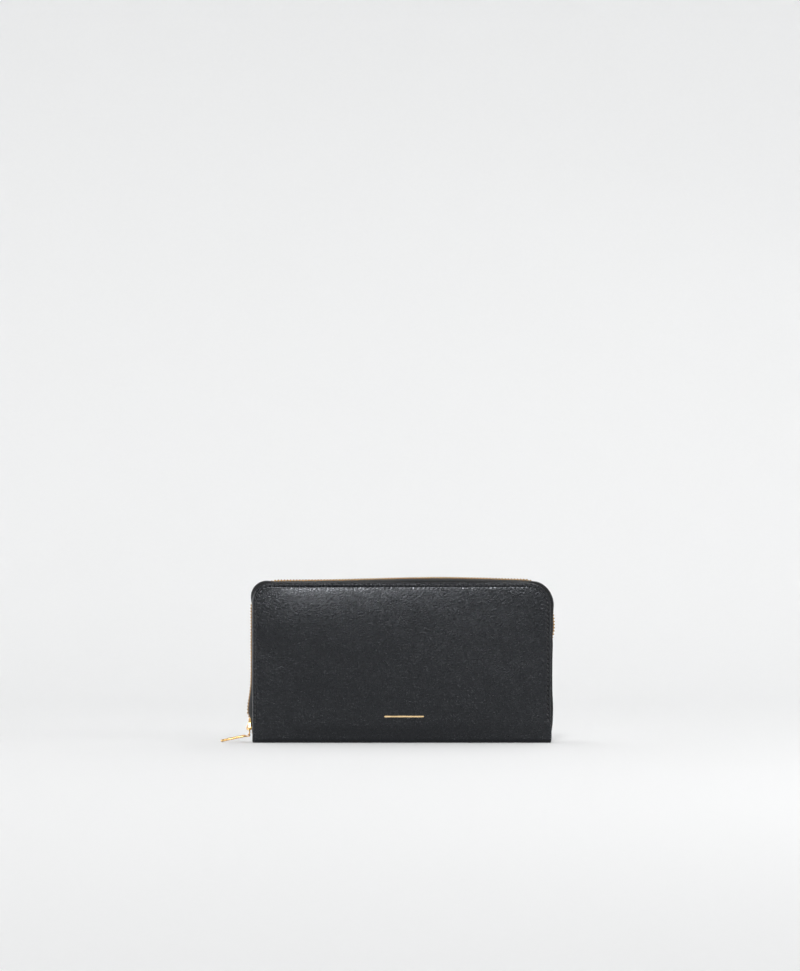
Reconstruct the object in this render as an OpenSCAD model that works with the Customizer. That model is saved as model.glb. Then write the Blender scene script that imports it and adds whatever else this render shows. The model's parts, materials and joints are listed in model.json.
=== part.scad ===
// Zip-around long wallet, standing closed on its spine.
// X runs across the covers, Y from the front cover (-Y) to the back cover (+Y), and Z up.
// The origin is the centre of the spine's resting face. The zip closes down the -X side.

/* [Covers] */
// Width of the covers
cover_w = 190; // [184:1:200]
// Height of the covers above the resting face
cover_h = 101; // [98:1:110]
// Thickness of the closed wallet over both covers
wallet_t = 25.4; // [25.4:0.1:30]
// Radius of the top corner on the slider's side
corner_l = 12; // [10:0.5:16]
// Radius of the other top corner
corner_r = 15; // [10:0.5:18]
// How far the covers' other side edge comes in at the spine
end_taper = 2; // [0.5:0.5:3]
// Height at which that taper starts
taper_h = 12; // [8:1:16]

/* [Layers] */
// Thickness of the outer leather
leather_t = 1.2; // [1.0:0.1:1.4]
// Thickness of the turned-in edge, and of the stiffener board inside it
board_t = 0.8; // [0.6:0.1:1.0]
// Thickness of the zip tape, and of the padding inside it
tape_t = 0.6; // [0.5:0.1:0.7]
// Thickness of the linings, card panels and pocket leather
lining_t = 0.6; // [0.5:0.1:0.7]
// Width of the turned-in edge
turn_w = 7; // [6:0.5:9]

/* [Zip] */
// Pitch of the teeth along one row
tooth_pitch = 1.95; // [1.9:0.05:2.4]
// Width of the closed chain, over both rows
chain_w = 4.6; // [4.4:0.1:5]
// Thickness of a tooth across the tape
tooth_t = 2.2; // [2:0.1:2.4]
// How far the middle of the chain stands out past the covers' edge
chain_out = 0.5; // [0.3:0.1:1]
// Extra height of the chain in the middle of the top
top_arch = 2; // [0:0.1:2.5]
// Height of the slider's middle when the wallet is closed
slider_z = 11.6; // [11.6:0.1:14]

/* [Pull] */
// Length of the pull tab from its eye to its tip
tab_l = 18.6; // [16:0.2:20]
// Width of the pull tab
tab_w = 4.4; // [4:0.2:6]
// Thickness of the pull tab
tab_t = 1.3; // [1:0.1:1.5]
// Length of the link between the crown and the pull tab
link_l = 4.6; // [4.4:0.1:4.8]

/* [Inside] */
// Half width of the card panels and the coin pocket
inner_x = 84; // [80:1:85]
// Height of the coin pocket's panels
coin_h = 76; // [70:1:76]
// Thickness of the coin pocket
coin_t = 5.6; // [5.6:0.1:6]
// Depth of the gussets' fold at its top
gusset_depth = 22; // [18:1:24]
// Height of the topmost card pocket's edge
pocket_top = 86; // [84:1:88]
// Step from one card pocket's edge to the next
pocket_step = 13; // [12:1:14]

/* [Hidden] */
$fn = 48;
fine = 0.01;
fold_z = 1.6; // lowest point of the covers, clear of the spine as they fold
layer_z = 4; // lowest point of the turned-in edge, board and padding
zip_z = 4; // height of both ends of the zip tapes
front_y = -wallet_t / 2;
board_y = front_y + leather_t;
tape_y = board_y + board_t;
lining_y = tape_y + tape_t;
panel_y = lining_y + lining_t + 0.2;
pocket_y = panel_y + lining_t;
pocket_lean = 0.95; // how far a card pocket's upper edge stands off the panel
pocket_overlap = 5;
pockets = 4;
side_x = -cover_w / 2;

// Lengths along the covers' edge: the slider's side, corner, top, corner and other side
s_left = cover_h - corner_l - zip_z;
s_corner_l = s_left + PI / 2 * corner_l;
s_top = s_corner_l + cover_w - corner_l - corner_r;
s_corner_r = s_top + PI / 2 * corner_r;
s_end = s_corner_r + cover_h - corner_r - zip_z;

// Teeth
row_in = 1.1; // gap from the chain's middle to a tape's edge
head_in = 0.75; // how far a tooth's head reaches past the middle
tooth_len = 0.85; // length of a tooth along the chain
slot_gap = 0.24; // between a tooth's legs and the tape
first_tooth = slider_z - zip_z - 0.5;
last_tooth = s_end - 8;
teeth = floor((last_tooth - first_tooth) / tooth_pitch) + 1;

// Slider, in its own axes: +X to its nose, Y across, +Z out of the wallet
slider_l = 7.6;
channel = tooth_t / 2 + 0.2;
plate_t = 0.7;
slider_out = channel + plate_t;
lip_y = chain_w / 2 + 0.2;
lip_gap = 0.55;
crown_gap = 1.1;
crown_t = 0.7;
crown_w = 1.8;
wire_r = 0.4;
eye_r = wire_r + 0.06;
bail_x = 2.5; // place of the link's bar under the crown
bail_z = slider_out + crown_gap / 2;
link_w = 4; // between the middles of the link's arms
pin_x = side_x - chain_out - bail_z;
pin_z = slider_z - bail_x;
link_lean = 8;
tab_pin_x = pin_x + link_l * sin(link_lean);
tab_pin_z = pin_z - link_l * cos(link_lean);
tab_drop = asin((tab_pin_z - tab_t / 2 - 0.1) / tab_l);

// Coin pocket's zip, a smaller size of the same chain
coin_size = 0.75;
coin_chain_z = coin_h + 3;
coin_slider_x = 70;
coin_pitch = tooth_pitch * coin_size;
coin_first = -74;
coin_teeth = floor((coin_slider_x + 0.4 - coin_first) / coin_pitch) + 1;
coin_tape_t = 0.4;
coin_tab_l = 17;
coin_tab_w = 5;
coin_tab_t = 0.9;

gusset_t = 0.5;
gusset_x = inner_x + 3;
gusset_low = 4.5;
gusset_high = coin_h - 0.6;

// Direction in degrees that the covers' edge faces at length s along it
function facing(s) =
    s < s_left ? 180
    : s < s_corner_l ? 180 - (s - s_left) / corner_l * 180 / PI
    : s < s_top ? 90
    : s < s_corner_r ? 90 - (s - s_top) / corner_r * 180 / PI
    : 0;

function outward(s) = [cos(facing(s)), sin(facing(s))];

// How far the tapered side edge comes in at height z
function taper(z) = z < taper_h ? end_taper * (1 - z / taper_h) : 0;

// Point [x, z] on the covers' edge at length s along it
function edge_at(s) =
    s < s_left ? [side_x, zip_z + s]
    : s < s_corner_l ? [side_x + corner_l, cover_h - corner_l] + corner_l * outward(s)
    : s < s_top ? [side_x + corner_l + s - s_corner_l, cover_h]
    : s < s_corner_r ? [-side_x - corner_r, cover_h - corner_r] + corner_r * outward(s)
    : let (z = cover_h - corner_r - (s - s_corner_r)) [-side_x - taper(z), z];

// How far the chain stands out of the edge at s: it arches over the top and tucks in at its far end
function rise(s) = chain_out
    + (s > s_corner_l && s < s_top
        ? top_arch * pow(sin(180 * (s - s_corner_l) / (s_top - s_corner_l)), 2) : 0)
    - (s > s_end - taper_h ? 1.5 * (s - s_end + taper_h) / taper_h : 0);

function chain_at(s) = edge_at(s) + rise(s) * outward(s);
function chain_along(s) = chain_at(s + 0.1) - chain_at(s - 0.1);

// Outline of a strip of thickness t that follows the points p
function unit(v) = v / norm(v);
function across(v) = [-v[1], v[0]];
function side_of(p, i) = across(unit(p[min(i + 1, len(p) - 1)] - p[max(i - 1, 0)]));
function strip(p, t) = concat(
    [for (i = [0:len(p) - 1]) p[i] + t / 2 * side_of(p, i)],
    [for (i = [len(p) - 1:-1:0]) p[i] - t / 2 * side_of(p, i)]);

// A slab from y0 to y0 + t whose outline lies in X and Z
module slab(y0, t) {
    translate([0, y0 + t, 0]) rotate([90, 0, 0]) linear_extrude(t) children();
}

module back() {
    mirror([0, 1, 0]) children();
}

// A square corner at the origin with a quarter circle of radius r left out
module corner_cut(r) {
    difference() {
        translate([-1, -r]) square([r + 1, r + 1]);
        translate([r, -r]) circle(r);
    }
}

// Outline of a cover, brought in by inset on its three free edges
module outline(inset, low) {
    x = cover_w / 2 - inset;
    top = cover_h - inset;
    difference() {
        translate([-x, low]) square([2 * x, top - low]);
        translate([-x, top]) corner_cut(corner_l - inset);
        translate([x, top]) mirror([1, 0]) corner_cut(corner_r - inset);
        polygon([[x, taper_h], [x - end_taper, 0], [x - end_taper, -1], [x + 1, -1], [x + 1, taper_h]]);
    }
}

// ---- Covers, drawn for the front half; the back half mirrors them ----

module cover() {
    slab(front_y, leather_t) outline(0, fold_z);
    slab(board_y - fine, board_t + fine) difference() {
        outline(0, layer_z);
        outline(turn_w, 0);
    }
}

module board() {
    slab(board_y, board_t) outline(turn_w + 0.1, layer_z);
}

module padding() {
    slab(tape_y, tape_t) outline(turn_w + 0.1, layer_z);
}

module lining() {
    slab(lining_y, lining_t) outline(1.8, 2.2);
}

module card_panel() {
    slab(panel_y, lining_t) translate([-inner_x, 5]) square([2 * inner_x, 87]);
}

// Card pocket i, counted from the top, leans so that its foot tucks under the next one
module card_pocket(i) {
    top = pocket_top - (i - 1) * pocket_step;
    high = i < pockets ? pocket_step + pocket_overlap : top - 6;
    w = 2 * inner_x - 4;
    translate([-w / 2, pocket_y, top - high])
        rotate([-atan(pocket_lean / high), 0, 0])
            cube([w, lining_t, high]);
}

// ---- Zip ----

// Middle line of the tape in [out of the edge, Y] at length s: flat between cover and lining, then arched
function tape_line(s) =
    let (y = tape_y + tape_t / 2, low = -0.6, top = rise(s), span = -row_in - y)
    concat([[-turn_w + 0.2, y], [-3, y]],
        [for (a = [0:15:90]) [low + (top - low) * sin(a), y + span * (1 - cos(a))]]);

function tape_ring(s) =
    let (e = edge_at(s), d = outward(s))
    [for (p = strip(tape_line(s), tape_t)) [e[0] + p[0] * d[0], p[1], e[1] + p[0] * d[1]]];

tape_stops = concat(
    [0, s_left],
    [for (k = [1:7]) s_left + (s_corner_l - s_left) * k / 8],
    [for (k = [0:16]) s_corner_l + (s_top - s_corner_l) * k / 16],
    [for (k = [1:7]) s_top + (s_corner_r - s_top) * k / 8],
    [s_corner_r, s_end - taper_h, s_end - taper_h / 2, s_end]);

module zip_tape() {
    rings = [for (s = tape_stops) tape_ring(s)];
    n = len(rings[0]);
    last = len(rings) - 1;
    polyhedron(
        points = [for (r = rings) for (p = r) p],
        faces = concat(
            [[for (k = [n - 1:-1:0]) k]],
            [for (i = [0:last - 1]) for (k = [0:n - 1]) let (j = (k + 1) % n)
                [i * n + k, i * n + j, (i + 1) * n + j, (i + 1) * n + k]],
            [[for (k = [0:n - 1]) last * n + k]]));
}

// One tooth at the origin: X along the chain, Y across with its legs towards -Y, Z out of the tape
module tooth() {
    leg = -chain_w / 2;
    neck = -row_in + 0.05;
    h = tooth_t / 2;
    slot = tape_t / 2 + slot_gap;
    translate([-tooth_len / 2, 0, 0]) rotate([90, 0, 90]) linear_extrude(tooth_len)
        polygon([[leg, slot], [leg, h - 0.2], [leg + 0.3, h], [head_in - 0.3, h], [head_in, h - 0.4],
            [head_in, -h + 0.4], [head_in - 0.3, -h], [leg + 0.3, -h], [leg, -h + 0.2], [leg, -slot],
            [neck, -slot], [neck, slot]]);
}

// Places its children on the chain at length s, with X along the chain and Z out
module on_chain(s) {
    p = chain_at(s);
    a = chain_along(s);
    translate([p[0], 0, p[1]]) rotate([0, -atan2(a[1], a[0]), 0]) children();
}

// Teeth from the first one on; the other row is half a pitch further along
module teeth_row(offset) {
    for (i = [0:teeth - 1 - ceil(offset)])
        on_chain(first_tooth + (i + offset) * tooth_pitch) tooth();
}

// Clip of length l on one tape's edge that the slider stops against
module stop_clip(l) {
    difference() {
        translate([-l / 2, -chain_w / 2, -tooth_t / 2]) cube([l, chain_w / 2 - 0.4, tooth_t]);
        translate([-l, -chain_w / 2 - 1, -tape_t / 2 - slot_gap])
            cube([2 * l, chain_w / 2 + 1.05 - row_in, tape_t + 2 * slot_gap]);
    }
}

// Clip across both of the coin zip's tapes at its far end
module end_clip() {
    for (side = [-1, 1])
        translate([-1.3, -chain_w / 2, side * (tape_t / 2 + slot_gap + 0.3) - 0.3]) cube([2.6, chain_w, 0.6]);
    translate([-1.3, -row_in + 0.2, -tape_t / 2 - slot_gap - fine])
        cube([2.6, 2 * row_in - 0.4, tape_t + 2 * slot_gap + 2 * fine]);
}

// Plan of a slider plate, half of it, from tail (-X) to nose (+X)
plate_plan = [[-slider_l / 2, 2.9], [-slider_l / 2 + 0.3, 3.2], [-0.8, 3.3], [2, 3.9],
    [slider_l / 2 - 0.5, 3.8], [slider_l / 2, 3.2]];

module plate_shape() {
    flipped = [for (i = [len(plate_plan) - 1:-1:0]) [plate_plan[i][0], -plate_plan[i][1]]];
    polygon(concat(plate_plan, flipped));
}

// Slider: two plates with lips, joined by the post that parts the rows at its nose
module slider_body() {
    for (side = [0, 1]) mirror([0, 0, side]) {
        translate([0, 0, channel]) linear_extrude(plate_t) plate_shape();
        translate([0, 0, lip_gap]) linear_extrude(channel - lip_gap + fine) difference() {
            plate_shape();
            translate([-slider_l, -lip_y]) square([2 * slider_l, 2 * lip_y]);
        }
    }
    translate([0, 0, -channel - fine]) linear_extrude(2 * channel + 2 * fine)
        polygon([[1.1, 0], [2.2, 0.9], [3.6, 0.7], [3.6, -0.7], [2.2, -0.9]]);
}

// Bridge over the outer plate that the pull hangs from
module slider_crown() {
    z = slider_out;
    under = z + crown_gap;
    top = under + crown_t;
    translate([0, crown_w / 2, 0]) rotate([90, 0, 0]) linear_extrude(crown_w)
        polygon([[-2.4, z], [-2.2, under], [-1.6, top], [3, top], [3.5, under], [3.7, z],
            [3.05, z], [3, under - 0.2], [2.8, under], [-1.3, under], [-1.5, under - 0.2], [-1.6, z]]);
}

// Main slider's place: its nose points down and its crown out of the side
module at_slider() {
    translate([side_x - chain_out, 0, slider_z]) rotate([0, 90, 0]) mirror([0, 0, 1]) children();
}

// Wire loop: a bar at the crown, two arms and a bar for the tab's eye
module link() {
    translate([pin_x, 0, pin_z]) rotate([0, -link_lean, 0]) {
        for (end = [0, -link_l])
            translate([0, link_w / 2, end]) rotate([90, 0, 0]) cylinder(r = wire_r, h = link_w);
        for (side = [-1, 1]) translate([0, side * link_w / 2, 0]) {
            translate([0, 0, -link_l]) cylinder(r = wire_r, h = link_l);
            sphere(wire_r);
            translate([0, 0, -link_l]) sphere(wire_r);
        }
    }
}

// Tab of length l with a round tip at -X and an eye for the link's wire at the origin
module tab(l, w, t) {
    eye_w = link_w - 2 * wire_r - 0.5;
    neck = 1.6;
    difference() {
        union() {
            translate([0, eye_w / 2, 0]) rotate([90, 0, 0]) cylinder(r = eye_r + 0.5, h = eye_w);
            translate([-neck - 0.5, -eye_w / 2, -t / 2]) cube([neck + 0.5, eye_w, t]);
            translate([-l + w / 2, -w / 2, -t / 2]) cube([l - w / 2 - neck, w, t]);
            translate([-l + w / 2, 0, -t / 2]) cylinder(r = w / 2, h = t);
        }
        translate([0, eye_w, 0]) rotate([90, 0, 0]) cylinder(r = eye_r, h = 2 * eye_w);
    }
}

// Stamped tab with its own wire bar under the crown, for the small slider
module coin_tab() {
    arm_y = link_w / 2;
    reach = 5.2;
    translate([0, arm_y, 0]) rotate([90, 0, 0]) cylinder(r = wire_r, h = 2 * arm_y);
    for (side = [-1, 1]) translate([-reach, side * arm_y - wire_r, -wire_r]) cube([reach, 2 * wire_r, 2 * wire_r]);
    translate([-coin_tab_l + coin_tab_w / 2, 0, -coin_tab_t / 2]) linear_extrude(coin_tab_t) {
        circle(coin_tab_w / 2);
        translate([0, -coin_tab_w / 2]) square([coin_tab_l - coin_tab_w / 2 - reach, coin_tab_w]);
    }
}

// ---- Spine and coin pocket ----

module spine(y, z, t) {
    translate([side_x, -y, z]) cube([cover_w - end_taper, 2 * y, t]);
}

module coin_panel() {
    slab(-coin_t / 2, lining_t) translate([-inner_x, layer_z - 1.4]) square([2 * inner_x, coin_h - layer_z + 1.4]);
}

module coin_side() {
    y = coin_t / 2 - lining_t;
    translate([-inner_x, -y, layer_z]) cube([1.2, 2 * y, 66]);
}

// Middle line of the coin zip's front tape in [Y, Z]
coin_tape_y = -coin_t / 2 + lining_t + coin_tape_t / 2;
coin_tape_line = [[coin_tape_y, coin_h - 8], [coin_tape_y, coin_h + 0.1], [-3.4, coin_chain_z - 1.6],
    [-3.4, coin_chain_z - 0.4], [-3.1, coin_chain_z], [-row_in * coin_size, coin_chain_z]];

module coin_tape() {
    translate([-inner_x + 2, 0, 0]) rotate([90, 0, 90]) linear_extrude(2 * inner_x - 4)
        polygon(strip(coin_tape_line, coin_tape_t));
}

module coin_teeth_row(offset) {
    for (i = [0:coin_teeth - 1 - ceil(offset)])
        translate([coin_first + (i + offset) * coin_pitch, 0, coin_chain_z]) scale(coin_size) tooth();
}

module at_coin_slider() {
    translate([coin_slider_x, 0, coin_chain_z]) scale(coin_size) children();
}

// Gusset on the +X side of the front compartment: two leaves that meet at a fold inside
module gusset() {
    near = pocket_y + pocket_lean + lining_t + 0.15;
    far = -coin_t / 2 - 0.1 - gusset_t;
    fold_high = gusset_high - 6;
    leaf = [[gusset_x, gusset_low], [gusset_x, gusset_high], [gusset_x - gusset_depth, fold_high],
        [gusset_x - 2, gusset_low]];
    slab(near, gusset_t) polygon(leaf);
    slab(far, gusset_t) polygon(leaf);
    slab(near, far - near + gusset_t) polygon([leaf[2], leaf[3], leaf[3] + [gusset_t, 0], leaf[2] + [gusset_t, 0]]);
    translate([gusset_x - gusset_t, lining_y + lining_t, gusset_low])
        cube([gusset_t, near - lining_y - lining_t + gusset_t, gusset_high - gusset_low]);
}

module left() {
    mirror([1, 0, 0]) children();
}

shell = [0.16, 0.16, 0.17];
inner = [0.2, 0.2, 0.21];
cloth = [0.12, 0.12, 0.13];
gold = [0.83, 0.66, 0.38];
grey = [0.55, 0.53, 0.5];

color(shell) spine(wallet_t / 2 - 0.4, 0, leather_t);  // spine_leather
color(grey) spine(9, leather_t, board_t);  // spine_stiffener
color(inner) spine(9, leather_t + board_t, lining_t);  // spine_lining
color(inner) coin_panel();  // coin_pocket_front
color(inner) back() coin_panel();  // coin_pocket_back
color(cloth)  // coin_pocket_bottom
    translate([-inner_x, -coin_t / 2 + lining_t, layer_z - 1.4]) cube([2 * inner_x, coin_t - 2 * lining_t, 1.4]);
color(cloth) coin_side();  // coin_pocket_side_left
color(cloth) left() coin_side();  // coin_pocket_side_right
color(cloth) coin_tape();  // coin_zip_tape_front
color(cloth) back() coin_tape();  // coin_zip_tape_back
color(gold) coin_teeth_row(0);  // coin_zip_teeth_front
color(gold) back() coin_teeth_row(0.5);  // coin_zip_teeth_back
color(gold) {  // coin_zip_stops
    translate([coin_slider_x + coin_size * slider_l / 2 + 1.1, 0, coin_chain_z]) scale(coin_size) {
        stop_clip(1.6);
        back() stop_clip(1.6);
    }
    translate([coin_first - 2.4, 0, coin_chain_z]) scale(coin_size) end_clip();
}
color(gold) at_coin_slider() slider_body();  // coin_slider_body
color(gold) at_coin_slider() slider_crown();  // coin_slider_crown
color(gold) at_coin_slider()  // coin_pull_tab
    translate([bail_x, 0, bail_z]) coin_tab();
color(inner) left() gusset();  // gusset_front_left
color(inner) gusset();  // gusset_front_right
color(inner) back() left() gusset();  // gusset_back_left
color(inner) back() gusset();  // gusset_back_right

color(shell) cover();  // front_cover
color(grey) board();  // front_board
color(grey) padding();  // front_padding
color(inner) lining();  // front_lining
color(inner) card_panel();  // front_card_panel
color(inner) card_pocket(1);  // front_card_pocket_1
color(inner) card_pocket(2);  // front_card_pocket_2
color(inner) card_pocket(3);  // front_card_pocket_3
color(inner) card_pocket(4);  // front_card_pocket_4
color(cloth) zip_tape();  // front_zip_tape
color(gold) teeth_row(0);  // front_zip_teeth

color(shell) back() cover();  // back_cover
color(grey) back() board();  // back_board
color(grey) back() padding();  // back_padding
color(inner) back() lining();  // back_lining
color(inner) back() card_panel();  // back_card_panel
color(inner) back() card_pocket(1);  // back_card_pocket_1
color(inner) back() card_pocket(2);  // back_card_pocket_2
color(inner) back() card_pocket(3);  // back_card_pocket_3
color(inner) back() card_pocket(4);  // back_card_pocket_4
color(cloth) back() zip_tape();  // back_zip_tape
color(gold) back() teeth_row(0.5);  // back_zip_teeth
color(gold) back() on_chain(2.2) stop_clip(1.6);  // zip_start_stop
color(gold) back() on_chain(s_end - 4.6) stop_clip(2.6);  // zip_end_stop

color(gold) at_slider() slider_body();  // zip_slider_body
color(gold) at_slider() slider_crown();  // zip_slider_crown
color(gold) link();  // pull_link
color(gold)  // pull_tab
    translate([tab_pin_x, 0, tab_pin_z]) rotate([0, -tab_drop, 0]) tab(tab_l, tab_w, tab_t);
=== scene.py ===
# Black grained leather zip-around wallet, closed and standing on its spine.
# Lengths below are in millimetres in the CAD frame unless a name says otherwise.
import json
import math

import bmesh
import bpy
import numpy as np
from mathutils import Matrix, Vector


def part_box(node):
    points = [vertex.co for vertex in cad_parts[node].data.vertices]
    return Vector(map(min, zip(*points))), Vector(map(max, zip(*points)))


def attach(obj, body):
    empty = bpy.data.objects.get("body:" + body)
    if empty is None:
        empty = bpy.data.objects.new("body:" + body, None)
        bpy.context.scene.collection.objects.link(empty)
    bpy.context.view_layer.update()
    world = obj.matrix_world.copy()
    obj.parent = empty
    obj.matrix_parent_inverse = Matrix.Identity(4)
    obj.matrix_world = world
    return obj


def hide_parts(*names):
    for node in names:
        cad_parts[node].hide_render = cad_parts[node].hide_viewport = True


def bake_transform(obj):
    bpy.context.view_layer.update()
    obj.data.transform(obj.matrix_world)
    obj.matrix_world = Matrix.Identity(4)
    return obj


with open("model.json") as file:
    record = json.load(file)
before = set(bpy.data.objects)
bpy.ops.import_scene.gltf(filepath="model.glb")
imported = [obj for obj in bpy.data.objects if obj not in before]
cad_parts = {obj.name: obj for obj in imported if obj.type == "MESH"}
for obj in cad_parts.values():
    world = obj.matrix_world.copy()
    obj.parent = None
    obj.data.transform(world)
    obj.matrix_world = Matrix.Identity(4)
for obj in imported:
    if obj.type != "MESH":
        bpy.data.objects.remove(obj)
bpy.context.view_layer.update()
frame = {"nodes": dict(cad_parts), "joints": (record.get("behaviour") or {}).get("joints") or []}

MM = 0.001
PI = math.pi
nodes = frame["nodes"]


def corners(node):
    """Lowest and highest corner of a CAD node."""
    low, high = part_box(node)
    return np.array(low) / MM, np.array(high) / MM


# ---- Driving sizes, from the CAD frame ----

cover_low, cover_high = corners("front_cover")
tape_low = corners("front_zip_tape")[0]
lining_high = corners("front_lining")[1]
slider_low, slider_high = corners("zip_slider_body")
# The leather's free edge, set off a little from the CAD covers
LEFT = cover_low[0] + 0.1
RIGHT = cover_high[0] - 0.7
TOP = cover_high[2] + 0.4
FACE = -cover_low[1]  # from the middle plane to an outer face
ROUND_LEFT = 12.0
ROUND_RIGHT = 15.0
EDGE_T = 2.0  # thickness of the turned-in edge
FOLD_R = 2.4
FLAT = FACE - FOLD_R  # flat half width of the spine
V_OFFSET = FLAT + FOLD_R * (PI / 2 - 1)  # from a height on the face to a length along the leather
STITCH_IN = 1.9
STITCH_PITCH = 2.85
STITCH_LOW = 13.0
TOOTH_PITCH = 1.95
ROW_IN = 1.1  # gap between a tape's edge and the chain's middle
TAPE_T = 0.5


def smooth(t):
    """Eased step from 0 to 1."""
    t = np.clip(t, 0, 1)
    return t * t * (3 - 2 * t)


def bump(t, centre, before, after):
    """A bell round centre, with its own width on each side."""
    return np.exp(-(((t - centre) / np.where(t < centre, before, after)) ** 2))


def unit(v):
    """Vectors scaled to length 1."""
    return v / np.linalg.norm(v, axis=-1, keepdims=True)


def stacked(*columns):
    """Points from their coordinates, one array for each axis."""
    return np.stack(columns, -1)


# ---- Materials ----


class Shader:
    """A material's node tree, with short calls for the nodes that the recipes below use."""

    def __init__(self, name, **sockets):
        self.material = bpy.data.materials.new(name)
        self.material.use_nodes = True
        self.tree = self.material.node_tree
        self.shader = self.tree.nodes["Principled BSDF"]
        for key, value in sockets.items():
            self.shader.inputs[key.replace("_", " ")].default_value = value

    def add(self, kind, inputs=(), **settings):
        node = self.tree.nodes.new("ShaderNode" + kind)
        for key, value in settings.items():
            setattr(node, key, value)
        for key, value in dict(inputs).items():
            self.put(value, node.inputs[key])
        return node

    def put(self, value, socket):
        if isinstance(value, bpy.types.NodeSocket):
            self.tree.links.new(value, socket)
        else:
            socket.default_value = value

    def place(self, scale, turn=0.0, stretch=(1, 1, 1), uv=True):
        """Coordinates in units of 1 / scale metres, turned about Z."""
        coordinates = self.add("TexCoord").outputs["UV" if uv else "Object"]
        size = [scale * s for s in stretch]
        mapping = self.add("Mapping", {"Vector": coordinates, "Rotation": (0, 0, turn), "Scale": size})
        return mapping.outputs[0]

    def noise(self, vector, scale=1.0, detail=2.0, rough=0.5):
        node = self.add("TexNoise", {"Vector": vector, "Scale": scale, "Detail": detail, "Roughness": rough})
        return node.outputs["Fac"]

    def maths(self, operation, a, b=0.0):
        node = self.add("Math", {0: a, 1: b}, operation=operation)
        return node.outputs[0]

    def weighted(self, *terms):
        """Sum of values, each times its share."""
        total = 0.0
        for value, share in terms:
            total = self.maths("ADD", self.maths("MULTIPLY", value, share), total)
        return total

    def warp(self, vector, amount, scale):
        """Coordinates pushed about by noise."""
        noise = self.add("TexNoise", {"Vector": vector, "Scale": scale, "Detail": 1.0}).outputs["Color"]
        shift = self.add("VectorMath", {0: noise, 1: (0.5, 0.5, 0.5)}, operation="SUBTRACT").outputs[0]
        push = self.add("VectorMath", {0: shift, 3: amount}, operation="SCALE").outputs[0]
        return self.add("VectorMath", {0: vector, 1: push}, operation="ADD").outputs[0]

    def between(self, factor, low, high, start=0.0, end=1.0):
        """A number from low to high as factor goes from start to end."""
        node = self.add("MapRange", {0: factor, 1: start, 2: end, 3: low, 4: high})
        return node.outputs[0]

    def mix(self, factor, a, b):
        node = self.add("Mix", {0: factor, 6: (*a, 1), 7: (*b, 1)}, data_type="RGBA")
        return node.outputs[2]

    def relief(self, height, distance, strength=1.0):
        node = self.add("Bump", {"Height": height, "Distance": distance, "Strength": strength})
        self.put(node.outputs[0], self.shader.inputs["Normal"])

    def finish(self, colour=None, rough=None):
        if colour is not None:
            self.put(colour, self.shader.inputs["Base Color"])
        if rough is not None:
            self.put(rough, self.shader.inputs["Roughness"])
        return self.material


def grained_leather(name, dark, light, grain=1.35, depth=1.0):
    """Pebbled leather: warped cells with creases between them, fine pores and slow colour variation."""
    m = Shader(name, Specular_IOR_Level=0.36, Specular_Tint=(0.9, 0.94, 1.0, 1.0))
    skin = m.place(1000 / grain, turn=0.5, stretch=(1.0, 1.2, 1.0))
    warped = m.warp(skin, 0.85, 0.9)
    cell = {"Vector": warped, "Scale": 1.0, "Randomness": 0.9}
    cells = m.add("TexVoronoi", cell, feature="SMOOTH_F1")
    crease = m.add("TexVoronoi", cell, feature="DISTANCE_TO_EDGE")
    domes = m.between(cells.outputs["Distance"], 1.0, 0.0, 0.0, 0.9)
    lines = m.between(crease.outputs["Distance"], 0.0, 1.0, 0.0, 0.16)
    pores = m.noise(skin, 5.5, 2.0, 0.6)
    swell = m.noise(m.place(90), 1.0, 2.0)
    m.relief(m.weighted((domes, 0.052), (lines, 0.04), (pores, 0.006), (swell, 0.12)), MM * depth)
    colour = m.mix(m.weighted((lines, 0.5), (swell, 0.5)), dark, light)
    rough = m.between(m.weighted((lines, 1.0), (pores, 0.5)), 0.35, 0.24, 0.2, 1.4)
    return m.finish(colour, rough)


def woven(name, dark, light, pitch, depth, sheen=0.15):
    """Ribbed weave: yarns across the strip, broken by a finer set along it."""
    m = Shader(name, Sheen_Weight=sheen, Sheen_Roughness=0.5, Specular_IOR_Level=0.3)
    cloth = m.place(1000 / pitch)
    ribs = m.add("TexWave", {"Vector": cloth, "Scale": 0.32, "Distortion": 0.6, "Detail": 1.0},
                 wave_type="BANDS", bands_direction="DIAGONAL").outputs["Fac"]
    yarns = m.add("TexWave", {"Vector": cloth, "Scale": 0.45, "Distortion": 0.3, "Detail": 1.0},
                  wave_type="BANDS", bands_direction="Y").outputs["Fac"]
    weave = m.maths("MULTIPLY", ribs, yarns)
    fuzz = m.noise(cloth, 3.0, 3.0, 0.6)
    height = m.weighted((weave, 1.0), (fuzz, 0.3))
    m.relief(height, depth)
    rough = m.between(fuzz, 0.75, 0.95)
    return m.finish(m.mix(height, dark, light), rough)


def thread(name, dark, light):
    """Twisted sewing thread."""
    m = Shader(name, Sheen_Weight=0.1, Specular_IOR_Level=0.4)
    line = m.place(1000, uv=False)
    twist = m.add("TexWave", {"Vector": line, "Scale": 0.9, "Distortion": 0.5},
                  wave_type="BANDS", bands_direction="DIAGONAL").outputs["Fac"]
    m.relief(twist, 0.00005)
    return m.finish(m.mix(twist, dark, light), m.between(twist, 0.5, 0.32))


def plated_metal(name, dark, light, low_rough, high_rough):
    """Plated metal: fine polishing marks, and tone and gloss that drift a little."""
    m = Shader(name, Metallic=1.0)
    body = m.place(1000, uv=False)
    drift = m.noise(body, 0.35, 2.0)
    marks = m.noise(m.place(1000, stretch=(6, 1, 1), uv=False), 1.2, 3.0, 0.7)
    m.relief(m.maths("ADD", marks, drift), 0.00001)
    rough = m.between(m.weighted((marks, 0.6), (drift, 0.4)), low_rough, high_rough, 0.3, 0.7)
    return m.finish(m.mix(drift, dark, light), rough)


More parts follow.
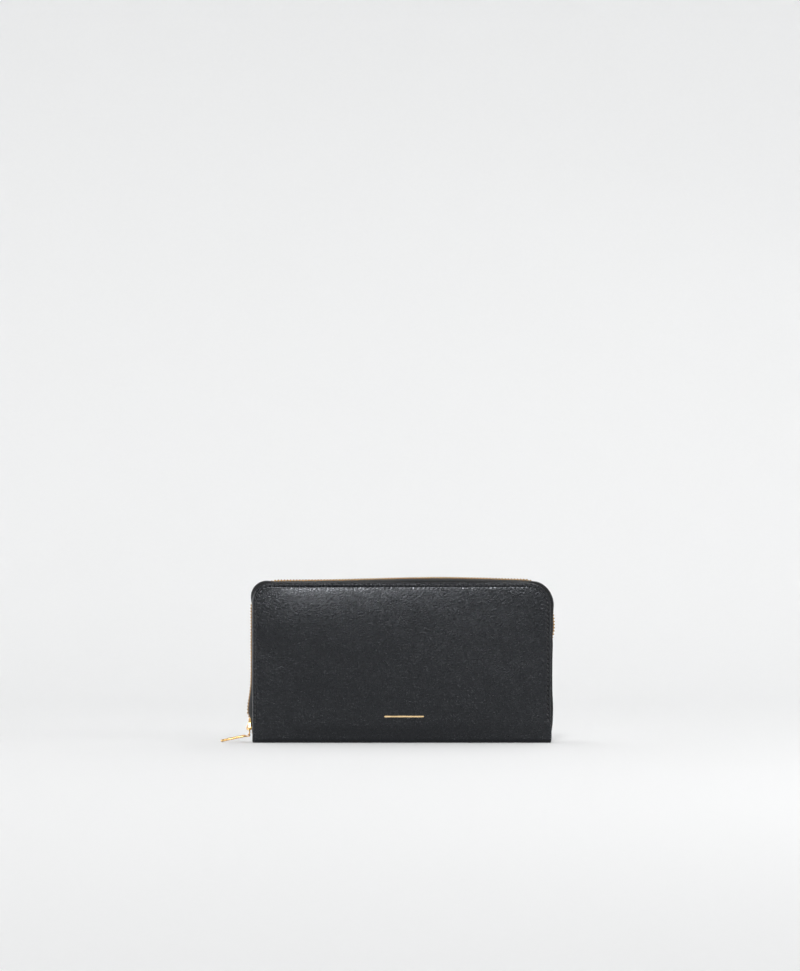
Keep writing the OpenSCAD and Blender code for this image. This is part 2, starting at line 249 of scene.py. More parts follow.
def fibre_board(name, dark, light):
    """Pressed board with matted fibres."""
    m = Shader(name)
    body = m.place(1000, uv=False)
    fibres = m.noise(m.warp(body, 1.5, 0.4), 1.5, 4.0, 0.7)
    m.relief(fibres, 0.00005)
    return m.finish(m.mix(fibres, dark, light), m.between(fibres, 0.8, 0.95))


outer_leather = grained_leather("outer_leather", (0.0022, 0.0024, 0.0031), (0.0045, 0.0049, 0.0062), 1.55)
inner_leather = grained_leather("inner_leather", (0.016, 0.016, 0.018), (0.032, 0.032, 0.036), 0.8, 0.5)
tape_cloth = woven("tape_cloth", (0.004, 0.004, 0.005), (0.015, 0.016, 0.018), 0.55, 0.00009, 0.03)
pleat_cloth = woven("pleat_cloth", (0.010, 0.010, 0.011), (0.030, 0.030, 0.033), 0.9, 0.00008, 0.3)
black_thread = thread("black_thread", (0.016, 0.016, 0.018), (0.050, 0.052, 0.056))
# Painted shade: the teeth's gold is set much darker than the pull's gold, the same metal, to stand for the
# shade on the chain's teeth; the stops and clips share it
tooth_gold_painted_shade = plated_metal("tooth_gold_painted_shade", (0.24, 0.13, 0.032), (0.36, 0.20, 0.055), 0.26, 0.38)
pull_gold = plated_metal("pull_gold", (0.62, 0.38, 0.15), (0.80, 0.51, 0.21), 0.2, 0.34)
foil_gold = plated_metal("foil_gold", (0.70, 0.50, 0.26), (0.84, 0.64, 0.38), 0.35, 0.5)
board_grey = fibre_board("board_grey", (0.24, 0.22, 0.19), (0.42, 0.39, 0.34))
inked_board = fibre_board("inked_board", (0.008, 0.008, 0.009), (0.020, 0.020, 0.022))


# ---- Mesh building ----


def make_mesh(name, points, faces, material, uv=None, facing=None):
    """A smooth-shaded object from points in millimetres. uv is a place in millimetres for each point, and
    facing is the side that an open sheet shows."""
    mesh = bpy.data.meshes.new(name)
    mesh.from_pydata((np.asarray(points, float) * MM).tolist(), [], faces)
    if uv is not None:
        loops = np.empty(len(mesh.loops), int)
        mesh.loops.foreach_get("vertex_index", loops)
        layer = mesh.uv_layers.new(name="flat")
        layer.data.foreach_set("uv", (np.asarray(uv, float)[loops] * MM).ravel())
    work = bmesh.new()
    work.from_mesh(mesh)
    bmesh.ops.remove_doubles(work, verts=work.verts, dist=1e-7)
    bmesh.ops.recalc_face_normals(work, faces=work.faces)
    if facing is not None:
        total = sum((f.normal * f.calc_area() for f in work.faces), Vector())
        if total.dot(Vector(facing)) < 0:
            bmesh.ops.reverse_faces(work, faces=work.faces)
    work.to_mesh(mesh)
    work.free()
    mesh.polygons.foreach_set("use_smooth", [True] * len(mesh.polygons))
    mesh.materials.append(material)
    piece = bpy.data.objects.new(name, mesh)
    bpy.context.scene.collection.objects.link(piece)
    return piece


def grid_faces(rows, columns, start=0, wrap=False):
    """Quads over a grid of points stored row by row."""
    r, c = np.meshgrid(np.arange(rows - 1), np.arange(columns if wrap else columns - 1), indexing="ij")
    a = start + r * columns + c
    b = start + r * columns + (c + 1) % columns
    return stacked(a, b, b + columns, a + columns).reshape(-1, 4).tolist()


def tube_faces(rows, columns):
    """Faces round a row of rings, and one over each end."""
    last = (rows - 1) * columns
    caps = [list(range(columns))[::-1], list(range(last, last + columns))]
    return grid_faces(rows, columns, wrap=True) + caps


def tube(name, rows, material, uvs=None):
    """A closed skin over a row of rings."""
    uv = None if uvs is None else np.concatenate(uvs)
    return make_mesh(name, np.concatenate(rows), tube_faces(len(rows), len(rows[0])), material, uv)


def run_along(path):
    """Length along a path at each of its points."""
    return np.concatenate([[0], np.cumsum(np.linalg.norm(np.diff(path, axis=0), axis=1))])


def squared_ring(count, power):
    """Points round a unit circle, pushed towards its square by a low power."""
    turn = (np.arange(count) + 0.5) * 2 * PI / count
    x, y = np.cos(turn), np.sin(turn)
    return np.sign(x) * np.abs(x) ** power, np.sign(y) * np.abs(y) ** power


def copies(points, faces, origins, axes):
    """Points and faces of one template at every origin, turned by the rows of axes."""
    points = np.asarray(points, float)
    placed = origins[:, None, :] + np.einsum("pk,nkj->npj", points, axes)
    shift = np.arange(len(origins)) * len(points)
    all_faces = [[i + k for i in face] for k in shift for face in faces]
    return placed.reshape(-1, 3), all_faces


# ---- The covers' free edge ----


def free_edge(left, right, top, round_left, round_right, low):
    """The edge up one side, over the top and down the other: its joints, and place and normal at a length."""
    runs = [top - round_left - low, PI / 2 * round_left, right - left - round_left - round_right,
            PI / 2 * round_right, top - round_right - low]
    joints = np.cumsum(runs)

    def at(s):
        s = np.asarray(s, float)
        up, corner, across, turn, _ = joints
        angle = np.select(
            [s < up, s < corner, s < across, s < turn],
            [PI + 0 * s, PI - (s - up) / round_left, PI / 2 + 0 * s, PI / 2 - (s - across) / round_right], 0)
        normal = stacked(np.cos(angle), np.sin(angle))
        x = np.select([s < up, s < corner, s < across],
                      [left + 0 * s, left + round_left * (1 + normal[..., 0]),
                       left + round_left + s - corner],
                      right - round_right * (1 - normal[..., 0]))
        v = np.select([s < up, s < corner, s < across, s < turn],
                      [low + s, top - round_left * (1 - normal[..., 1]), top + 0 * s,
                       top - round_right * (1 - normal[..., 1])], top - round_right - (s - turn))
        return stacked(x, v), normal

    return joints, at


def coons(bottom, top, left, right):
    """Points that fill four meeting curves: rows go up from bottom to top."""
    u = ((top[:, 0] - top[0, 0]) / (top[-1, 0] - top[0, 0]))[None, :, None]
    w = ((left[:, 1] - left[0, 1]) / (left[-1, 1] - left[0, 1]))[:, None, None]
    ruled = (1 - w) * bottom[None] + w * top[None] + (1 - u) * left[:, None] + u * right[:, None]
    ends = (1 - w) * ((1 - u) * bottom[0] + u * bottom[-1]) + w * ((1 - u) * top[0] + u * top[-1])
    return ruled - ends


def edged_sheet(name, edge, rings, relief, place, material, facing, fine=0.4):
    """A sheet inside a free edge. rings run outwards: (inset from the edge, height, share of relief). The
    border follows the edge in fine steps, and a coarser grid fills the middle."""
    joints, at = edge
    low_corner = (joints[0] + joints[1]) / 2
    high_corner = (joints[2] + joints[3]) / 2
    side = 2 * round(low_corner / fine / 2)
    top = 2 * round((high_corner - low_corner) / fine / 2)
    s = np.concatenate([np.linspace(0, low_corner, side + 1)[:-1],
                        np.linspace(low_corner, high_corner, top + 1)[:-1],
                        np.linspace(high_corner, joints[4], side + 1)])
    base, normal = at(s)
    n = len(s)
    flat, heights = [], []
    for inset, height, share in rings[1:]:
        spot = base - inset * normal
        flat.append(spot)
        heights.append(height + share * relief(spot, np.full(n, inset), s))
    faces = grid_faces(len(rings) - 1, n)
    rim_count = n * (len(rings) - 1)

    rim = (base - rings[0][0] * normal)[::2]
    half, across = side // 2, top // 2
    left, upper, right = rim[:half + 1], rim[half:half + across + 1], rim[half + across:][::-1]
    share = (upper[:, 0] - upper[0, 0]) / (upper[-1, 0] - upper[0, 0])
    lower = left[0] + share[:, None] * (right[0] - left[0])
    middle = coons(lower, upper, left, right).reshape(-1, 2)
    columns = across + 1
    flat.append(middle)
    inset = np.full(len(middle), rings[0][0])
    heights.append(rings[0][1] + rings[0][2] * relief(middle, inset, np.zeros(len(middle))))
    faces += grid_faces(half + 1, columns, rim_count)
    border = ([rim_count + j * columns for j in range(half + 1)]
              + [rim_count + half * columns + i for i in range(1, columns)]
              + [rim_count + j * columns + columns - 1 for j in range(half - 1, -1, -1)])
    faces += [[border[k], border[k + 1], 2 * k + 2, 2 * k + 1, 2 * k] for k in range(len(border) - 1)]

    flat = np.concatenate(flat)
    points = place(flat[:, 0], flat[:, 1], np.concatenate(heights))
    return make_mesh(name, points, faces, material, flat, facing)


# ---- Outer leather ----

leather_edge = free_edge(LEFT, RIGHT, TOP + V_OFFSET, ROUND_LEFT, ROUND_RIGHT, 0.0)
# Insets of the border's rings, closest together in the sewn groove
FACE_RINGS = [10, 8.4, 7, 5.9, 5, 4.3, 3.75, 3.3, 2.95, 2.7, 2.5, 2.35, 2.2, 2.05, 1.9, 1.7, 1.45, 1.2, 1]
ROLL = EDGE_T / 2  # radius of the rolled edge
FRONT_SEED = 3  # unevenness of each cover's leather
BACK_SEED = 8


def roll_rings():
    """The edge rolls over to the inside and ends against the lining."""
    turns = [PI * k / 10 for k in range(1, 11)]
    round_over = [(ROLL * (1 - math.sin(a)), ROLL * (math.cos(a) - 1), max(0, math.cos(a))) for a in turns]
    return round_over + [(inset, -EDGE_T, 0) for inset in (2.0, 3.5, 5.5)]


def stitch_line(edge, inset, low, pitch):
    """Lengths of the stitches' middles along an edge, and two functions of a length: the phase, which is 0 at
    each hole, and the share of the seam's relief."""
    joints, at = edge
    start, end = low, joints[4] - low
    s = np.linspace(start, end, 4000)
    base, normal = at(s)
    run = run_along(base - inset * normal)
    count = round(run[-1] / pitch)
    middles = np.interp((np.arange(count) + 0.5) / count * run[-1], run, s)

    def phase(q):
        return 2 * PI * np.interp(q, s, run) / run[-1] * count

    def mask(q):
        return smooth((q - start) / 1.5) * smooth((end - q) / 1.5)

    return middles, phase, mask


stitch_middles, stitch_phase, stitch_mask = stitch_line(
    leather_edge, STITCH_IN, STITCH_LOW + V_OFFSET, STITCH_PITCH)


def waves(x, z, seed):
    """Slow unevenness of a hand-made panel."""
    rng = np.random.default_rng(seed)
    total = 0 * x
    for _ in range(7):
        length = rng.uniform(22, 70)
        turn = rng.uniform(0, PI)
        total += rng.uniform(0.4, 1) * np.sin(2 * PI * (x * math.cos(turn) + z * math.sin(turn)) / length
                                              + rng.uniform(0, 2 * PI))
    return total / 4


def puff(distance, reach):
    """Share of the padding's height at a distance from an edge."""
    return 1 - np.exp(-np.maximum(distance - STITCH_IN, 0) / reach)


def padding_height(x, z):
    """Height of the padded face over a flat one: soft edges, a bow from side to side and a fuller corner."""
    cushion = 0.8 * smooth(z / 45) * puff(x - LEFT, 5.2) * puff(RIGHT - x, 15) * puff(TOP - z, 5)
    bow = 0.85 * (1 - (x / 96) ** 2) * np.clip(1 - ((z - 38) / 64) ** 2, 0, 1)
    fuller = 2.0 * bump(x, -67, 15.5, 83) * bump(z, 77, 34, 22)
    return cushion + bow + fuller


def leather_relief(seed):
    """Height of the outer leather over its flat face: the padding, the sewn groove and its puckers."""

    def relief(spot, inset, s):
        x, z = spot[:, 0], spot[:, 1] - V_OFFSET
        on_face = smooth(z / 12)
        inside = smooth((inset - STITCH_IN) / 3)
        cushion = padding_height(x, z)
        step = 0.08 * smooth((inset - STITCH_IN) / 1.2)
        uneven = 0.16 * waves(x, z, seed) * inside
        mask = stitch_mask(s) * (inset < 9.9)
        phase = stitch_phase(s)
        groove = bump(inset, STITCH_IN, 0.5, 0.5) * (0.44 + 0.2 * np.cos(phase))
        rim = 0.12 * np.maximum(1.8 - inset, 0) * smooth((z - 84) / 14)
        fold = bump(inset, STITCH_IN + 1.2, 1, 1)
        pucker = 0.06 * fold * np.cos(phase + PI + 1.1 * (inset - STITCH_IN))
        bead = 0.04 * bump(inset, 1.2, 0.6, 0.6) * np.cos(phase + PI)
        return on_face * (cushion + step + uneven) + mask * (pucker + bead - groove - rim)

    return relief


def fold_over(side):
    """Bends the flat leather: lengths run from the spine's middle line, round the fold and up the face."""

    def place(x, v, h):
        turn = np.clip((v - FLAT) / FOLD_R, 0, PI / 2)
        y = np.minimum(v, FLAT) + (FOLD_R + h) * np.sin(turn)
        z = FOLD_R - (FOLD_R + h) * np.cos(turn) + np.maximum(v - FLAT - FOLD_R * PI / 2, 0)
        flare = 0.5 * bump(z, 5, 5, 6) * smooth((x - 80) / 14)
        return stacked(x + flare, side * y, z)

    return place


def threads(name, centre, along, up, length, radius, dip, material):
    """One mesh of stitches, each a bent capsule whose ends dive into the leather."""
    t = np.linspace(-1, 1, 9)
    thick = radius * np.sqrt(np.clip(1 - np.abs(t) ** 5, 0.03, 1))
    turn = np.arange(8) * PI / 4
    template = stacked(np.repeat(t * length / 2, 8), np.outer(thick, np.cos(turn)).ravel(),
                       np.outer(thick, np.sin(turn)).ravel() - np.repeat(dip * np.abs(t) ** 3, 8))
    axes = np.stack([along, np.cross(up, along), up], 1)
    points, all_faces = copies(template, tube_faces(9, 8), centre, axes)
    return make_mesh(name, points, all_faces, material)


def edge_stitches(name, edge, middles, inset, place, height, slant, material, radius=0.25):
    """Stitches along a free edge, a little slanted."""
    base, normal = edge[1](middles)
    spot = base - inset * normal
    tangent = stacked(normal[:, 1], -normal[:, 0])
    run = math.cos(slant) * tangent + math.sin(slant) * normal
    h = np.full(len(spot), height)
    centre = place(spot[:, 0], spot[:, 1], h)
    ahead = place(spot[:, 0] + 0.1 * run[:, 0], spot[:, 1] + 0.1 * run[:, 1], h)
    above = place(spot[:, 0], spot[:, 1], h + 0.1)
    up = unit(above - centre)
    return threads(name, centre, unit(ahead - centre), up, 2.3, radius, 0.42, material)


def outer_shell(half, side, seed):
    """A cover's leather, from the spine's middle line round the fold to the rolled edge, and its stitches."""
    rings = [(inset, 0.0, 1.0) for inset in FACE_RINGS] + roll_rings()
    place = fold_over(side)
    shell = edged_sheet(half + "_outer_leather", leather_edge, rings, leather_relief(seed), place,
                        outer_leather, (0, side, 0))
    sewing = edge_stitches(half + "_edge_stitching", leather_edge, stitch_middles, STITCH_IN, place,
                           0.02, 0.12, black_thread, 0.28)
    return shell, sewing


# ---- Zip chain ----

zip_joints, zip_at = free_edge(LEFT, RIGHT, TOP, ROUND_LEFT, ROUND_RIGHT, 1.6)
zip_end = zip_joints[4]
TAPE_SINK = 1.7  # how far the chain sinks where the tapes swell
TAPE_SWELL = 2.0  # height of the tapes' swell in front of the teeth
LEFT_BEND = (zip_joints[0] + zip_joints[1]) / 2  # lengths at the middles of the two corners
RIGHT_BEND = (zip_joints[2] + zip_joints[3]) / 2


def tape_hides(s):
    """Share of the tapes' swell. It hides the teeth round both corners and down most of the right side."""
    z = zip_at(s)[0][..., 1]
    left_corner = np.exp(-(((s - LEFT_BEND) / 9.5) ** 4))
    right_corner = np.exp(-(((s - RIGHT_BEND) / np.where(s < RIGHT_BEND, 9, 17)) ** 4))
    right_side = (s > RIGHT_BEND) * smooth((71 - z) / 10) * smooth((z - 2) / 12)
    return left_corner + right_corner + right_side


def swell_height(s):
    """The tapes stand highest at the middles of the corners, where they pucker."""
    return tape_hides(s) * (TAPE_SWELL + 1.2 * bump(s, LEFT_BEND, 7, 7) + 0.6 * bump(s, RIGHT_BEND, 9, 9))


def chain_rise(s):
    """How far the chain's middle stands out of the edge: it bows out above the slider and over the top."""
    place, normal = zip_at(s)
    x, z = place[..., 0], place[..., 1]
    angle = np.arctan2(normal[..., 1], normal[..., 0])
    on_left = smooth(angle / (PI / 2) - 1)
    on_right = smooth(1 - angle / (PI / 2))
    left = 0.2 + 2.2 * bump(z, 19.5, 3.7, 12)
    top = 0.6 + 1.86 * bump(x, 24, 55, 50)
    right = 1.5 * bump(z, 78, 16, 30) + 0.7 * bump(z, 21, 10, 9)
    rise = on_left * left + on_right * right + (1 - on_left - on_right) * top
    return rise - 2.6 * smooth((7.5 - z) / 6) - TAPE_SINK * tape_hides(s)


def chain_roll(s):
    """The chain leans so that its front row stands out further, a little less where the slider runs."""
    normal = zip_at(s)[1]
    on_left = smooth(np.arctan2(normal[..., 1], normal[..., 0]) / (PI / 2) - 1)
    return np.radians(15 - 3 * on_left)


def chain_frame(s):
    """Middle of the chain at s, and its axes: along, across (+Y) and out of the wallet."""

    def middle(q):
        place, normal = zip_at(q)
        return place + chain_rise(q)[..., None] * normal

    centre = middle(s)
    normal = zip_at(s)[1]
    step = middle(s + 0.2) - middle(s - 0.2)
    along = unit(stacked(step[:, 0], 0 * s, step[:, 1]))
    across = np.tile([0.0, 1.0, 0.0], (len(s), 1))
    out = np.cross(along, across)
    outwards = stacked(normal[:, 0], 0 * s, normal[:, 1])
    out *= np.sign((out * outwards).sum(-1))[:, None]
    return stacked(centre[:, 0], 0 * s, centre[:, 1]), np.stack([along, across, out], 1)


def tape_profile(rise, swell):
    """Middle line of the tape as (out of the edge, Y): flat between cover and lining, then arched over the
    swell to its edge."""
    y = tape_low[1] + 0.3
    low = -0.6
    turn = np.linspace(0, PI / 2, 17)
    out = low + (rise - low) * np.sin(turn) + swell * np.sin(2 * turn) ** 2
    across = y + (-ROW_IN - y) * (1 - np.cos(turn))
    return np.concatenate([[-6.8, -4.5, -2.2], out]), np.concatenate([[y, y, y], across])


def zip_tape(half, side):
    """Woven tape, thinned at the edge that the teeth grip."""
    s = np.linspace(0.1, zip_end - 0.1, 560)
    place, normal = zip_at(s)
    rise = chain_rise(s) - side * ROW_IN * np.sin(chain_roll(s))
    swell = swell_height(s)
    rows, uvs = [], []
    for k in range(len(s)):
        out, y = tape_profile(rise[k], swell[k])
        out = out + 0.05 * np.sin(2 * PI * s[k] / 3.3) * np.linspace(0, 1, len(out)) ** 2
        line = stacked(out, y)
        step = unit(np.gradient(line, axis=0))
        across = stacked(-step[:, 1], step[:, 0])
        thick = np.full(len(line), TAPE_T / 2)
        thick[-1] = 0.12
        loop = np.concatenate([line + thick[:, None] * across, (line - thick[:, None] * across)[::-1]])
        run = run_along(line)
        spot = place[k] + loop[:, :1] * normal[k]
        rows.append(stacked(spot[:, 0], -side * loop[:, 1], spot[:, 1]))
        uvs.append(stacked(np.full(len(loop), s[k]), np.concatenate([run, run[::-1]])))
    return tube(half + "_zip_tape_woven", rows, tape_cloth, uvs)


# Stations of a tooth from its legs to its head: place across the tape, half length along it, half thickness
TOOTH_STATIONS = [
    (-2.34, 0.38, 0.72), (-2.24, 0.54, 0.95), (-2.0, 0.6, 1.08), (-1.3, 0.6, 1.1), (-0.95, 0.5, 1.1),
    (-0.5, 0.35, 1.08), (-0.05, 0.37, 1.07), (0.35, 0.43, 1.02), (0.6, 0.38, 0.9), (0.72, 0.2, 0.6)]


def tooth_template():
    """One tooth about the chain's middle line, its head towards +Y."""
    ring_x, ring_z = squared_ring(12, 0.7)
    points = [(x * a, y, z * b) for y, a, b in TOOTH_STATIONS for x, z in zip(ring_x, ring_z)]
    return np.array(points), tube_faces(len(TOOTH_STATIONS), 12)


def zip_teeth(half, side):
    """One row of teeth; the back row is half a pitch further along."""
    first = (slider_low[2] + slider_high[2]) / 2 - 0.5 - 1.6
    start = first + (TOOTH_PITCH / 2 if side > 0 else 0)
    s = np.arange(start, zip_end - 10, TOOTH_PITCH)
    origins, axes = chain_frame(s)
    points, faces = tooth_template()
    points[:, 1] *= -side
    roll = chain_roll(s)[:, None]
    axes = np.stack([axes[:, 0], np.cos(roll) * axes[:, 1] - np.sin(roll) * axes[:, 2],
                     np.sin(roll) * axes[:, 1] + np.cos(roll) * axes[:, 2]], 1)
    placed, all_faces = copies(points, faces, origins, axes)
    return make_mesh(half + "_zip_teeth_cast", placed, all_faces, tooth_gold_painted_shade)


def clip(name, s, width, low, high):
    """A bent metal clip over the tape's edge, from low to high in Y."""
    origins, axes = chain_frame(np.array([s]))
    across, thick = squared_ring(16, 0.4)
    rings = []
    for x, scale in [(-1, 0.8), (-0.9, 0.95), (-0.6, 1), (0.6, 1), (0.9, 0.95), (1, 0.8)]:
        y = (low + high) / 2 + scale * (high - low) / 2 * across
        rings.append(stacked(np.full(16, x * width / 2), y, scale * 0.85 * thick))
    points, all_faces = copies(np.concatenate(rings), tube_faces(len(rings), 16), origins, axes)
    return make_mesh(name, points, all_faces, tooth_gold_painted_shade)


# ---- Inside ----

LINING_Y = -lining_high[1]
LINING_R = 2.5
LINING_FLOOR = 2.6
LINING_FLAT = LINING_Y - LINING_R
LINING_OFFSET = LINING_FLAT + LINING_R * (PI / 2 - 1) - LINING_FLOOR
LINING_T = 0.6
LINING_IN = 0.9  # from the covers' edge to the lining's


def inner_fold(side):
    """Bends the flat lining: lengths run from the spine's middle, round the corner and up the inner face."""

    def place(x, v, h):
        turn = np.clip((v - LINING_FLAT) / LINING_R, 0, PI / 2)
        y = np.minimum(v, LINING_FLAT) + (LINING_R - h) * np.sin(turn)
        rest = np.maximum(v - LINING_FLAT - LINING_R * PI / 2, 0)
        z = LINING_FLOOR + LINING_R - (LINING_R - h) * np.cos(turn) + rest
        return stacked(x, side * y, z)

    return place


def inner_lining(half, side):
    """A cover's lining, from the spine's middle up to the sewn edge, and its stitches."""
    edge = free_edge(LEFT + LINING_IN, RIGHT - LINING_IN, TOP - LINING_IN + LINING_OFFSET,
                     ROUND_LEFT - LINING_IN, ROUND_RIGHT - LINING_IN, 0.0)
    inset = STITCH_IN - LINING_IN
    middles, phase, mask = stitch_line(edge, inset, 12 + LINING_OFFSET, STITCH_PITCH)

    def relief(spot, d, s):
        x, z = spot[:, 0], spot[:, 1] - LINING_OFFSET
        groove = 0.16 * bump(d, inset, 0.3, 0.3) * (1 + 0.5 * np.cos(phase(s))) * mask(s) * (d < 5)
        return 0.05 * waves(x, z, 21) * smooth(d / 4) - groove

    rings = [(d, 0.0, 1.0) for d in (6, 4.6, 3.6, 2.8, 2.2, 1.8, 1.5, 1.25, 1.0, 0.8, 0.55)]
    rings += [(0.3 - 0.3 * math.sin(a), 0.3 * math.cos(a) - 0.3, 0) for a in np.linspace(0, PI, 7)]
    rings += [(2.5, -LINING_T, 0)]
    place = inner_fold(side)
    sheet = edged_sheet(half + "_inner_lining", edge, rings, relief, place, inner_leather, (0, -side, 0), 0.6)
    sewing = edge_stitches(half + "_lining_stitching", edge, middles, inset, place,
                           0.0, -0.1, black_thread, 0.22)
    return sheet, sewing


def rounded_path(points, radius, steps=5):
    """A polyline whose corners are turned into short curves."""
    points = [np.array(p, float) for p in points]
    path = [points[0]]
    for a, b, c in zip(points, points[1:], points[2:]):
        before, after = unit(a - b), unit(c - b)
        cut = min(radius, 0.45 * np.linalg.norm(a - b), 0.45 * np.linalg.norm(c - b))
        for t in np.linspace(0, 1, steps):
            path.append((1 - t) ** 2 * (b + cut * before) + 2 * t * (1 - t) * b + t * t * (b + cut * after))
    return np.array(path + [points[-1]])


def thickened(path, thickness):
    """Closed outline of a strip with rounded ends along a path."""
    step = unit(np.gradient(path, axis=0))
    side = stacked(-step[:, 1], step[:, 0]) * thickness / 2
    turn = np.linspace(0, PI, 6)[1:-1]
    end = [path[-1] + math.cos(a) * side[-1] + math.sin(a) * step[-1] * thickness / 2 for a in turn]
    start = [path[0] - math.cos(a) * side[0] - math.sin(a) * step[0] * thickness / 2 for a in turn]
    return np.concatenate([path + side, end, (path - side)[::-1], start])


def sweep(name, along, loop_at, frame_at, material):
    """Sweeps closed outlines along a list of stations. frame_at turns an outline's points into places."""
    rows, uvs = [], []
    for t in along:
        loop = loop_at(t)
        rows.append(frame_at(t, loop))
        uvs.append(stacked(np.full(len(loop), t), run_along(loop)))
    return tube(name, rows, material, uvs)


def across_x(side):
    """Outlines hold (distance from the middle plane, height) and run along X."""
    return lambda x, loop: stacked(np.full(len(loop), x), side * loop[:, 0], loop[:, 1])


def seam_rows(name, lines, side, radius=0.2):
    """Straight rows of stitches. Each line is (start, end), as (x, distance from the middle plane, z)."""
    centre, along = [], []
    for start, end in lines:
        start, end = np.array(start, float), np.array(end, float)
        count = max(2, round(np.linalg.norm(end - start) / 2.6))
        t = (np.arange(count) + 0.5) / count
        centre.append(start + t[:, None] * (end - start))
        along.append(np.tile(unit(end - start), (count, 1)))
    centre, along = np.concatenate(centre), np.concatenate(along)
    centre[:, 1] *= side
    along[:, 1] *= side
    up = np.tile([0.0, -side, 0.0], (len(centre), 1))
    up = unit(up - (up * along).sum(-1)[:, None] * along)
    return threads(name, centre, along, up, 2.0, radius, 0.35, black_thread)


def card_panel(half, side):
    """Panel behind the card pockets, thinner at its ends."""
    low, high = corners("front_card_panel")
    y = -(low[1] + high[1]) / 2
    path = stacked(np.full(40, y), np.linspace(low[2], high[2] - 0.3, 40))

    def loop_at(x):
        end = smooth((high[0] - abs(x)) / 1.2)
        return thickened(path, LINING_T * (0.5 + 0.5 * end))

    xs = np.concatenate([[low[0]], np.linspace(low[0] + 0.6, high[0] - 0.6, 110), [high[0]]])
    return sweep(half + "_card_backing", xs, loop_at, across_x(side), inner_leather)


CARD_SEAM_X = 80.4  # the seams that close the card pockets at both ends
CARD_STEP = 12.6  # how far below a pocket's mouth its upright rows end, under the next pocket


def card_pocket(half, side, number):
    """A pocket layer whose mouth stands off the one behind, held down at its middle seam and both ends."""
    low, high = corners(f"front_card_pocket_{number}")
    foot, mouth = -low[1] - LINING_T / 2, -high[1] + LINING_T / 2
    z = np.linspace(low[2] + 0.3, high[2] - 0.35, 26)
    rise = (z - z[0]) / (z[-1] - z[0])

    def loop_at(x):
        held = bump(x, 0, 2.6, 2.6) + bump(abs(x), 80, 2.2, 2.2)
        sag = 0.5 * rise ** 3 * (1 - smooth(abs(abs(x) - 40) / 42))
        y = foot + (mouth - foot) * rise + 0.22 * held * rise ** 2
        path = stacked(y - 0.12 * (1 - held) * rise ** 4, z - sag * 0.5)
        return thickened(path, LINING_T)

    xs = np.linspace(low[0], high[0], 150)
    return sweep(f"{half}_card_slot_{number}", xs, loop_at, across_x(side), inner_leather)


def card_stitches(half, side):
    """A row along each pocket's mouth, and upright rows at both ends and in the middle."""
    lines = []
    row_x = CARD_SEAM_X - 1.4
    for number in range(1, 5):
        low, high = corners(f"front_card_pocket_{number}")
        surface = -high[1] - 0.02
        lines.append(((-row_x, surface + 0.05, high[2] - 2.0), (row_x, surface + 0.05, high[2] - 2.0)))
        bottom = high[2] - CARD_STEP if number < 4 else low[2] + 1
        lean = (high[1] - low[1] - LINING_T) / (high[2] - low[2])
        for x in (-CARD_SEAM_X, 0, CARD_SEAM_X):
            foot = surface + lean * (high[2] - 2 - bottom) + 0.2
            lines.append(((x, foot, bottom), (x, surface + 0.2, high[2] - 2.6)))
    return seam_rows(half + "_card_stitching", lines, side)


def coin_panel(half, side):
    """Leather wall of the coin pocket, a little fuller in the middle."""
    low, high = corners("coin_pocket_front")
    y = -(low[1] + high[1]) / 2
    z = np.linspace(low[2] + 0.3, high[2] - 0.35, 44)
    share = (z - z[0]) / (z[-1] - z[0])

    def loop_at(x):
        swell = 0.28 * np.sin(PI * share) * (1 - (x / 86) ** 4)
        return thickened(stacked(y + swell, z), LINING_T)

    xs = np.linspace(low[0], high[0], 110)
    return sweep(half + "_coin_panel", xs, loop_at, across_x(side), inner_leather)


def coin_stitches(half, side):
    """Rows below the mouth and up both ends of a wall."""
    low, high = corners("coin_pocket_front")
    y = -low[1]
    top, x = high[2] - 1.8, high[0] - 1.5
    lines = [((-x, y, top), (x, y, top)), ((-x, y, 6), (-x, y, top)), ((x, y, 6), (x, y, top))]
    return seam_rows(half + "_coin_stitching", lines, side)


def coin_floor():
    """Cloth trough that joins the two walls at their foot."""
    low, high = corners("coin_pocket_bottom")
    turn = np.linspace(PI, 2 * PI, 15)
    path = stacked((high[1] - 0.25) * np.cos(turn), high[2] + 0.9 * np.sin(turn))
    return sweep("coin_pocket_trough", np.linspace(low[0], high[0], 60), lambda x: thickened(path, 0.5),
                 across_x(1), pleat_cloth)


def coin_end(name, node, side):
    """Pleated end of the coin pocket: a strip folded inwards, deeper towards the mouth."""
    low, high = corners(node)
    outer = max(abs(low[0]), abs(high[0]))

    def loop_at(z):
        depth = 1.2 + 5.0 * smooth((z - low[2]) / (high[2] - low[2]))
        fold = [(outer, low[1] + 0.2), (outer - depth, 0), (outer, high[1] - 0.2)]
        return thickened(rounded_path(fold, 1.2), 0.4)

    def frame_at(z, loop):
        return stacked(side * loop[:, 0], loop[:, 1], np.full(len(loop), z))

    return sweep(name, np.linspace(low[2], high[2], 36), loop_at, frame_at, pleat_cloth)


COIN_SIZE = 0.75  # size of the coin pocket's zip against the main one
coin_slider_low, coin_slider_high = corners("coin_slider_body")
coin_teeth_low, coin_teeth_high = corners("coin_zip_teeth_front")
COIN_Z = (coin_teeth_low[2] + coin_teeth_high[2]) / 2


def coin_tape(half, side):
    """Tape sewn inside the wall: it goes up, outwards above the wall's mouth and in to the teeth."""
    low, high = corners("coin_zip_tape_front")
    sewn, outermost, edge = 2.0, 3.4, ROW_IN * COIN_SIZE
    path = rounded_path([(sewn, low[2] + 0.2), (sewn, COIN_Z - 2.9), (outermost, COIN_Z - 1.5),
                         (outermost - 0.1, COIN_Z), (edge, COIN_Z)], 1.1, 7)

    def loop_at(x):
        wave = path.copy()
        wave[:, 1] += 0.04 * np.sin(x / 1.7) * np.linspace(0, 1, len(path))
        return thickened(wave, 0.4)

    xs = np.linspace(low[0], high[0], 150)
    return sweep(half + "_coin_tape_woven", xs, loop_at, across_x(side), tape_cloth)


